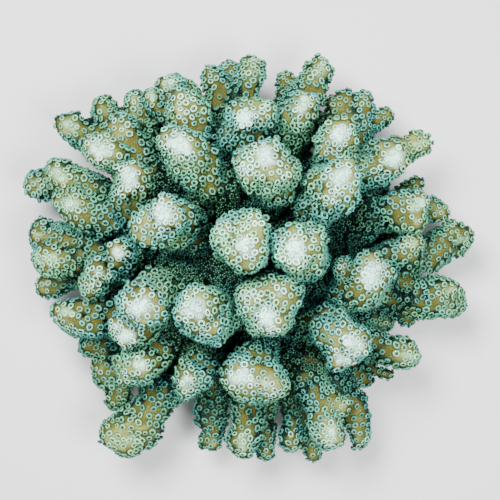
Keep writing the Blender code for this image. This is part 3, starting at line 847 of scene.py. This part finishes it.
# Tones by shade, from 0 at a tip to 1 in the depth
SKIN_TONES = [
    (0.06, YELLOW_GREEN), (0.30, GOLD), (0.48, GOLD), (0.62, OLIVE), (0.74, SHADE_DEEP_TEAL), (0.90, SHADE_NEAR_BLACK),
]
RING_TONES = [
    (0.02, PALE_MINT), (0.16, MID_MINT), (0.46, SEA_GREEN), (0.70, SHADOW_GREEN), (0.90, SHADE_DARK_TEAL),
]
DOT_TONES = [(0.02, PALE_MINT), (0.16, MID_MINT), (0.50, SEA_GREEN), (1.0, SEA_GREEN)]
CUP_TONES = [(0.0, GOLD), (0.22, OLIVE), (0.42, SHADE_DEEP_TEAL), (0.7, SHADE_NEAR_BLACK)]

# Tones of a bare tip by its height in the colony, darker and mintier lower down, partly as painted shade
TIP_TONES = [(0.24, SKY_MINT), (0.46, CREAM), (0.70, WHITE_MINT)]

# What low places add to the shade, and where the cap takes over, as (where, amount)
LOW_SKIN_SHADE = [(0.20, 0.18), (0.65, 0.0)]
LOW_RING_SHADE = [(0.20, 0.24), (0.65, 0.0)]
FLANK_SHADE = [(0.0, 0.55), (1.0, 0.0)]
SKIN_CAP = [(0.66, 0.0), (1.0, 0.94)]
RING_CAP = [(0.36, 0.0), (0.90, 1.0)]
CUP_CAP = [(0.72, 0.0), (1.0, 0.86)]

# What a steep place adds to the shade of rings and cups
STEEP_RING_SHADE = 0.09
STEEP_CUP_SHADE = 0.45

# Bands of a crown by its reach on the map, and for the low wall by half of it
CUP_EDGE = [(0.40, 0.0), (0.52, 1.0)]
MOUTH_EDGE = [(0.07, 1.0), (0.14, 0.0)]
WALL_EDGE = [(0.41, 0.0), (0.47, 1.0)]

# Patterns, in waves or cells a metre
BLOTCHES = 260
SKIN_DRIFT = 110
SPECKS = 2300
CAST_PATCHES = 75
RING_GRAIN = 2600
STONE_GRAIN = 500
STONE_PITS = 900
EDGE_OF_GROWTH = 140
DARK_DRIFT = 300


def height_share(finish):
    """0 at the foot of the colony to 1 at its highest tips, from the height of the place."""
    return finish.times(finish.split(finish.place())["Z"], 1.0 / (CANOPY_HEIGHT * MM))


def tip_colours(finish):
    """Nearness to a growing tip, and its bare colour: white on the crown, a darker mint on the low rim that
    is partly painted shade.
    """
    cap = finish.add(finish.value_of("cap"), finish.swing(BLOTCHES, 0.7))
    return cap, finish.ramp(height_share(finish), TIP_TONES)


def tissue_finish():
    """Skin between the polyps: gold on the crests, with painted shade that turns it olive on the flanks,
    near-black deep down and darker low in the colony.
    """
    finish = Finish("living_skin", 0.7, gloss=0.1)
    shade = finish.add(finish.value_of("shade"), finish.swing(SKIN_DRIFT, 0.9))
    shade = finish.add(shade, finish.ramp(finish.value_of("crest"), FLANK_SHADE))
    shade = finish.add(shade, finish.ramp(height_share(finish), LOW_SKIN_SHADE))
    specks = finish.ramp(finish.cells(SPECKS), [(0.16, 1.0), (0.30, 0.0)])
    colour = finish.mix(
        finish.times(specks, 0.6), finish.ramp(shade, SKIN_TONES), finish.ramp(shade, DOT_TONES)
    )
    cap, bare = tip_colours(finish)
    finish.colour(finish.mix(finish.ramp(cap, SKIN_CAP), colour, bare))
    finish.bump(finish.cells(SPECKS), 0.6, 0.0003)
    return finish.material


def ring_light(finish, beads):
    """How light a ring is: by its polyp's own tint, its beads and a fine grain."""
    light = finish.add(finish.times(finish.value_of("tint"), 0.45), 0.50)
    light = finish.add(light, finish.times(beads, 0.12))
    return finish.add(light, finish.ramp(finish.noise(RING_GRAIN, 1.0), [(0.35, 0.0), (0.65, 0.35)]))


def polyp_finish():
    """Crowns: a pale ring of dots round a darker cup with a pale mouth, paler at the bare tips; painted
    shade darkens them away from the tips, deep down and on steep places, and the rings low down too.
    """
    finish = Finish("polyp_crowns", 0.6, gloss=0.12)
    reach, angle = finish.on_map()
    deep, steep = finish.value_of("shade"), finish.value_of("steep")
    shade = finish.add(deep, finish.times(steep, STEEP_RING_SHADE))
    shade = finish.add(shade, finish.ramp(height_share(finish), LOW_RING_SHADE))
    cup_shade = finish.add(deep, finish.times(steep, STEEP_CUP_SHADE))
    cap, bare = tip_colours(finish)

    beads = finish.maths("COSINE", finish.times(angle, math.pi * CROWN_SIDES))
    dots = finish.ramp(beads, [(0.25, 0.0), (0.75, 1.0)])
    ring = finish.mix(dots, finish.ramp(shade, RING_TONES), finish.ramp(shade, DOT_TONES))
    patches = finish.ramp(finish.noise(CAST_PATCHES, 1.0), [(0.38, 0.0), (0.62, 1.0)])
    ring = finish.mix(1.0, ring, finish.mix(patches, CYAN_CAST, LEAF_CAST), "MULTIPLY")
    ring = finish.mix(finish.ramp(cap, RING_CAP), ring, bare)
    ring = finish.mix(1.0, ring, finish.grey(ring_light(finish, beads)), "MULTIPLY")

    cup = finish.mix(finish.ramp(cap, CUP_CAP), finish.ramp(cup_shade, CUP_TONES), bare)
    colour = finish.mix(finish.ramp(reach, CUP_EDGE), cup, ring)
    colour = finish.mix(finish.times(finish.ramp(reach, MOUTH_EDGE), 0.5), colour, ring)
    # The low outer wall takes the cup's tones, painted shade included, so the gaps between crowns read dark
    wall = finish.ramp(finish.times(reach, 0.5), WALL_EDGE)
    finish.colour(finish.mix(finish.times(wall, 0.9), colour, cup))
    return finish.material


def limestone_finish():
    """Bare skeleton at the cut, pale and pitted, grown over higher up by skin painted near-black to deep
    teal as shade.
    """
    finish = Finish("bare_limestone", 0.85, gloss=0.1)
    grain = finish.ramp(finish.noise(STONE_GRAIN, 4.0), [(0.3, SHADED_STONE), (0.7, PALE_STONE)])
    pits = finish.ramp(finish.cells(STONE_PITS), [(0.05, PIT_BROWN), (0.3, NO_CHANGE)])
    stone = finish.mix(0.8, grain, pits, "MULTIPLY")
    ragged = finish.times(finish.noise(EDGE_OF_GROWTH, 3.0), 0.006)
    height = finish.add(finish.split(finish.place())["Z"], ragged)
    grown = finish.ramp(finish.times(height, 50.0), [(0.42, 0.0), (0.52, 1.0)])
    # Painted shade: the skin on the foot is near black to deep teal, the colony's darkest place
    skin = finish.ramp(finish.noise(DARK_DRIFT), [(0.40, SHADE_NEAR_BLACK), (0.75, SHADE_DEEP_TEAL)])
    finish.colour(finish.mix(grown, stone, skin))
    finish.bump(finish.cells(STONE_PITS), 0.6, 0.0004)
    return finish.material


def plain_finish(name, colour, roughness):
    finish = Finish(name, roughness)
    finish.colour((*colour, 1.0))
    return finish.material


# The colony

def cap_share(points, tips):
    """How much of the bare tip a point is: 1 on a long finger's end, 0 past CAP_EDGE radii.

    The way is measured to the nearest point of the cap's own line, from the end backwards.
    """
    offset = points[:, None] - tips[None, :, TIP_END]
    back = tips[:, TIP_BACK]
    share = np.einsum("ntk,tk->nt", offset, back) / np.maximum((back**2).sum(axis=1), 1e-6)
    offset -= share.clip(0.0, 1.0)[:, :, None] * back[None]
    away = np.linalg.norm(offset, axis=2) / tips[None, :, TIP_RADIUS]
    closeness = np.clip((CAP_EDGE - away) / CAP_FADE, 0.0, 1.0) * tips[None, :, TIP_BARENESS]
    height = np.clip((points[:, 2] - LOW_CAP) / (HIGH_CAP - LOW_CAP), 0.0, 1.0)
    return closeness.max(axis=1) * (RIM_CAP + (1.0 - RIM_CAP) * height)


def slimness(points, tips):
    """Polyps are smaller on a thin finger: the share of the full size at each point."""
    away = np.linalg.norm(points[:, None] - tips[None, :, TIP_END], axis=2)
    radius = tips[away.argmin(axis=1), TIP_RADIUS]
    return np.clip(THIN_SHARE + (1.0 - THIN_SHARE) * radius / FULL_RADIUS, 0.0, 1.0)


def polyp_spacing(points, crest, tips):
    """Spacing in millimetres: closer on the tips, wider on the crests and deep down, and uneven."""
    tip = tip_of(points, tips)
    even = (1.0 - TIP_CROWDING * tip) * (1.0 + DEEP_SPACING * depth_of(points)) * slimness(points, tips)
    even *= 1.0 + CREST_SPACING * crest * (1.0 - tip)
    return POLYP_SPACING * even * (1.0 + UNEVENNESS * soft_noise(points, PATCH_SPAN, 8))


def declare(piece, replaced=None):
    """Puts the piece on the root body, and hides the solid that it replaces."""
    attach(piece, "root")
    if replaced:
        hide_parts(replaced)


def outside(growths, places, gap=NEIGHBOUR_GAP):
    """Which places lie at least that gap outside all of these growths."""
    clear = np.ones(len(places), dtype=bool)
    for growth in growths:
        clear &= lumpy_skin(growth, places) > gap
    return clear


def grow_limb(name, growths, skin_finish, crown_finish, seed):
    """The skin of one limb, which replaces its solid, and the polyps on it."""
    rng = np.random.default_rng(seed)
    tips = growths[name].tips
    others = [growth for other, growth in growths.items() if other != name]

    def field(points):
        return lumpy_skin(growths[name], points)

    def spacing_of(points):
        return polyp_spacing(points, crest_of(points, slope_of(field, points)[1]), tips)

    points, quads = fused_cage(LIMBS[name])
    points = settle(field, points, rounds=4)
    # The skin's painted shade and cap, and its crest, from which its flanks get more painted shade
    values = {
        "shade": shade_of(points, tips),
        "cap": cap_share(points, tips),
        "crest": crest_of(points, slope_of(field, points)[1]),
    }
    skin = make_piece("skin_of_" + name, points, quads.tolist(), skin_finish, values)
    declare(skin, replaced=name)

    places, spacing = scatter(points, quads, rng, spacing_of)
    places = spread_out(field, places, spacing)
    places = places[(foot_distance(places) > FOOT_GAP) & outside(others, places)]
    axes = slope_of(field, places)[1]
    steep = steepness_of(axes)
    axes += POLYP_LEAN * places / np.linalg.norm(places, axis=1, keepdims=True)
    axes += rng.normal(scale=LEAN_SCATTER, size=axes.shape)
    axes /= np.linalg.norm(axes, axis=1, keepdims=True)
    sizes = POLYP_RADIUS * slimness(places, tips) * rng.uniform(0.82, 1.12, len(places))
    sizes *= 1.0 - TIP_CROWDING * tip_of(places, tips)
    # The polyps' painted shade and cap, and their steepness, from which steep ones get more painted shade
    values = {
        "shade": shade_of(places, tips),
        "cap": cap_share(places, tips),
        "steep": steep,
        "tint": rng.random(len(places)),
    }
    crowns = polyps("polyps_of_" + name, places, axes, sizes, crown_finish, values, rng)
    declare(crowns)
    return len(places), len(quads)


def foot_surface():
    """Points and quads of the foot, and the triangles that close it.

    At angle v round the axis and w up the profile the point is radius times cos w outwards
    and centre plus rise times sin w up, moved out by soft noise that dies off at the cut.
    Below it the last row shrinks to the middle of the flat cut.
    """
    lowest = math.asin(-FOOT_CENTRE / FOOT_RISE)
    w = np.linspace(math.pi / 2, lowest, FOOT_ROWS + 1)[1:, None]
    v = np.arange(FOOT_SIDES)[None] * 2 * math.pi / FOOT_SIDES
    out = np.cos(w) * np.ones_like(v)
    up = FOOT_CENTRE + FOOT_RISE * np.sin(w) + 0 * v
    dome = np.stack([FOOT_RADIUS * out * np.cos(v), FOOT_RADIUS * out * np.sin(v), up], axis=-1)
    flat = dome.reshape(-1, 3)
    lumps = FOOT_LUMPS[0] * soft_noise(flat, FOOT_LUMPS[1], 11)
    pits = FOOT_PITS[0] * soft_noise(flat, FOOT_PITS[1], 12)
    lift = (lumps + pits - FOOT_SINK).reshape(FOOT_ROWS, FOOT_SIDES, 1)
    fade = np.clip(dome[..., 2:3] / CUT_FADE, 0.0, 1.0)
    outward = dome - [0, 0, FOOT_CENTRE]
    outward /= np.linalg.norm(outward, axis=2, keepdims=True)
    dome = dome + outward * lift * fade
    shrink = (1 - (np.arange(1, CUT_ROWS) / CUT_ROWS))[:, None, None]
    cut = dome[-1:] * shrink
    cut[..., 2] = 0.0
    poles = [[0, 0, FOOT_CENTRE + FOOT_RISE - FOOT_SINK], [0, 0, 0]]
    points = np.vstack([dome.reshape(-1, 3), cut.reshape(-1, 3), poles])

    count = FOOT_ROWS + CUT_ROWS - 1
    ring = np.arange(FOOT_SIDES)
    after = (ring + 1) % FOOT_SIDES
    row = np.arange(count - 1)[:, None] * FOOT_SIDES
    below = row + FOOT_SIDES
    quads = np.stack([row + ring, below + ring, below + after, row + after], axis=-1).reshape(-1, 4)
    top = np.full(FOOT_SIDES, count * FOOT_SIDES)
    last = (count - 1) * FOOT_SIDES
    closing = np.vstack([
        np.stack([top, ring, after], axis=1),
        np.stack([top + 1, last + after, last + ring], axis=1),
    ])
    return points, quads, closing


def grow_foot(growths, stone_finish, crown_finish):
    """The foot, which replaces its solid, and the small polyps between the limbs."""
    points, quads, closing = foot_surface()
    foot = make_piece("foot_of_colony", points, quads.tolist() + closing.tolist(), stone_finish)
    declare(foot, replaced="cut_base")

    rng = np.random.default_rng(77)
    upper = quads[points[quads].mean(axis=1)[:, 2] > FOOT_POLYPS_FROM]
    places = scatter(points, upper, rng, lambda p: np.full(len(p), FOOT_CROWDING * POLYP_SPACING))[0]
    places = places[outside(growths.values(), places)]
    axes = places / [FOOT_RADIUS**2, FOOT_RADIUS**2, FOOT_RISE**2] - [0, 0, FOOT_CENTRE / FOOT_RISE**2]
    axes /= np.linalg.norm(axes, axis=1, keepdims=True)
    sizes = POLYP_RADIUS * rng.uniform(0.85, 1.05, len(places))
    # The foot's polyps take full painted shade, and count as steep for more of it
    values = {
        "shade": np.ones(len(places)),
        "cap": np.zeros(len(places)),
        "steep": np.ones(len(places)),
        "tint": rng.random(len(places)),
    }
    crowns = polyps("polyps_of_foot", places, axes, sizes, crown_finish, values, rng)
    declare(crowns)
    return len(places)


def make_floor():
    """A pale disc that the cut rests on: at angle v its rim is at reach times (cos v, sin v)."""
    sides, reach, drop = 96, 900.0, 0.05
    v = np.arange(sides) * 2 * math.pi / sides
    rim = np.stack([reach * np.cos(v), reach * np.sin(v), np.full(sides, -drop)], axis=1)
    pale = plain_finish("pale_floor", (0.74, 0.75, 0.74), 0.7)
    floor = make_piece("floor", rim, [list(range(sides))], pale)


def soft_light(name, place, aim, power, size):
    """A square soft box at a place in millimetres, turned to its aim."""
    light = bpy.data.lights.new(name, "AREA")
    light.energy = power
    light.size = size
    lamp = bpy.data.objects.new(name, light)
    lamp.location = [c * MM for c in place]
    way = np.array(aim, float) - np.array(place, float)
    lamp.rotation_euler = (math.acos(-way[2] / np.linalg.norm(way)), 0.0, math.atan2(-way[0], way[1]))
    bpy.context.scene.collection.objects.link(lamp)


def make_studio():
    """Two soft boxes beside the eye, a weak pale surround and the camera straight above."""
    soft_light("key_box", (-90, 120, 430), (0, 0, 30), 4.6, 0.14)
    soft_light("fill_box", (120, -70, 430), (0, 0, 30), 2.7, 0.14)
    world = bpy.data.worlds.new("pale_surround")
    world.use_nodes = True
    surround = world.node_tree.nodes["Background"]
    surround.inputs["Color"].default_value = (0.75, 0.80, 0.82, 1.0)
    surround.inputs["Strength"].default_value = 0.4
    bpy.context.scene.world = world
    lens = bpy.data.cameras.new("eye")
    lens.sensor_width = 36.0
    lens.lens = lens.sensor_width * EYE_HEIGHT / VIEW_WIDTH
    lens.shift_x = (PICTURE / 2 - CENTRE_PIXEL[0]) / PICTURE
    lens.shift_y = (CENTRE_PIXEL[1] - PICTURE / 2) / PICTURE
    lens.clip_start = 0.01
    eye = bpy.data.objects.new("eye", lens)
    eye.location = (0.0, 0.0, EYE_HEIGHT * MM)
    bpy.context.scene.collection.objects.link(eye)
    bpy.context.scene.camera = eye


make_floor()
make_studio()
skin = tissue_finish()
crowns = polyp_finish()
stone = limestone_finish()
growths = {name: Growth(fingers, BARE_ENDS.get(name)) for name, fingers in LIMBS.items()}
totals = [grow_limb(name, growths, skin, crowns, seed) for seed, name in enumerate(LIMBS)]
foot_polyps = grow_foot(growths, stone, crowns)
print("polyps", sum(t[0] for t in totals) + foot_polyps, "skin quads", sum(t[1] for t in totals))
